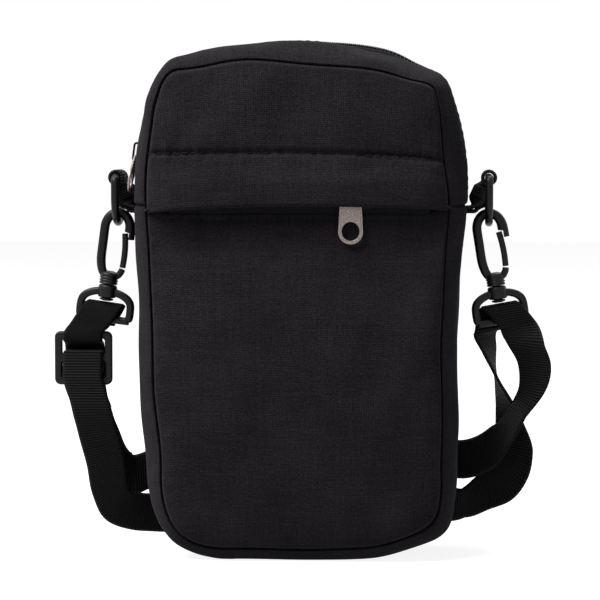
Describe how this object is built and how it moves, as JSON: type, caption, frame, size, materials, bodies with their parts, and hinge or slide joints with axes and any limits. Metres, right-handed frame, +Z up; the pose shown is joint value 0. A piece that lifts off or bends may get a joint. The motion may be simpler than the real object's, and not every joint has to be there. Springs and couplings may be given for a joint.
{
  "type": "tech travel pouch",
  "caption": "Upright zipped fabric pouch with a flapped front zip pocket and a webbing strap clipped to side D-rings by swivel snap hooks.",
  "frame": {"origin": "centre of the flat base, where the pouch stands", "axes": "+Z up, the front pocket faces -Y, +X is to the right as seen from the front"},
  "size_m": [0.1799, 0.0558, 0.1865],
  "materials": {
    "shell_fabric": "matt brushed weave, dark charcoal",
    "lining_fabric": "smooth thin weave, dark grey",
    "foam_sheet": "soft closed foam, grey",
    "webbing_weave": "ribbed webbing, black",
    "hardware_plastic": "satin black",
    "zip_tape": "woven tape with moulded teeth, black",
    "zip_metal": "worn gunmetal plating"
  },
  "bodies": {
    "bag": {"front_yoke_panel": "shell_fabric", "front_pocket_panel": "shell_fabric", "pocket_back_panel": "lining_fabric", "back_panel": "shell_fabric", "lower_gusset": "shell_fabric", "zip_gusset_front": "shell_fabric", "zip_gusset_rear": "shell_fabric", "main_zip_front_half": "zip_tape", "main_zip_rear_half": "zip_tape", "front_zip_upper_half": "zip_tape", "front_zip_lower_half": "zip_tape", "lining_front": "lining_fabric", "lining_back": "lining_fabric", "lining_gusset": "lining_fabric", "foam_front": "foam_sheet", "foam_back": "foam_sheet", "seam_binding_front": "lining_fabric", "seam_binding_rear": "lining_fabric", "left_ring_tab": "webbing_weave", "right_ring_tab": "webbing_weave"},
    "main_slider": {"main_slider": "zip_metal"},
    "main_pull": {"main_pull": "zip_metal"},
    "front_slider": {"front_slider": "zip_metal"},
    "front_pull": {"front_pull": "zip_metal"},
    "left_d_ring": {"left_d_ring": "hardware_plastic"},
    "right_d_ring": {"right_d_ring": "hardware_plastic"},
    "strap": {"strap_webbing": "webbing_weave", "strap_adjuster": "hardware_plastic", "left_swivel_ring": "hardware_plastic", "right_swivel_ring": "hardware_plastic"},
    "left_hook": {"left_hook": "hardware_plastic"},
    "right_hook": {"right_hook": "hardware_plastic"},
    "left_gate": {"left_gate": "hardware_plastic"},
    "right_gate": {"right_gate": "hardware_plastic"}
  },
  "joints": [
    {"name": "main_zip_run", "type": "hinge", "parent": "bag", "child": "main_slider", "pos_m": [0.09, 0, 0.127], "axis": [0, 1, 0], "range_deg": [0, 6.8]},
    {"name": "main_pull_swing", "type": "hinge", "parent": "main_slider", "child": "main_pull", "pos_m": [-0.05922, 0, 0.14263], "axis": [-0.9921, 0, 0.1253], "range_deg": [0, 82]},
    {"name": "front_zip_run", "type": "slide", "parent": "bag", "child": "front_slider", "axis": [1, 0, 0], "range_m": [-0.056, 0.0186]},
    {"name": "front_pull_swing", "type": "hinge", "parent": "front_slider", "child": "front_pull", "pos_m": [0.0182, -0.0212, 0.1288], "axis": [0, -1, 0], "range_deg": [-42, 42]},
    {"name": "strap_swing", "type": "hinge", "parent": "bag", "child": "strap", "pos_m": [0, 0, 0.13], "axis": [1, 0, 0], "range_deg": [0, 18]},
    {"name": "left_d_ring_swing", "type": "hinge", "parent": "bag", "child": "left_d_ring", "pos_m": [-0.067, 0, 0.1368], "axis": [0, 1, 0], "range_deg": [-1.5, 1.5]},
    {"name": "left_hook_swivel", "type": "hinge", "parent": "strap", "child": "left_hook", "pos_m": [-0.07077, 0, 0.0981], "axis": [0.1305, 0, 0.9914], "range_deg": [-15, 15]},
    {"name": "left_gate_hinge", "type": "hinge", "parent": "left_hook", "child": "left_gate", "pos_m": [-0.06556, 0, 0.10397], "axis": [0, -1, 0], "range_deg": [0, 15], "stiffness_Nm_per_rad": 0.003, "springref_deg": -14.32},
    {"name": "right_d_ring_swing", "type": "hinge", "parent": "bag", "child": "right_d_ring", "pos_m": [0.067, 0, 0.1368], "axis": [0, 1, 0], "range_deg": [-1.5, 1.5]},
    {"name": "right_hook_swivel", "type": "hinge", "parent": "strap", "child": "right_hook", "pos_m": [0.06978, 0, 0.09796], "axis": [-0.1564, 0, 0.9877], "range_deg": [-15, 15]},
    {"name": "right_gate_hinge", "type": "hinge", "parent": "right_hook", "child": "right_gate", "pos_m": [0.07311, 0, 0.10506], "axis": [0, -1, 0], "range_deg": [0, 15], "stiffness_Nm_per_rad": 0.003, "springref_deg": -14.32}
  ]
}
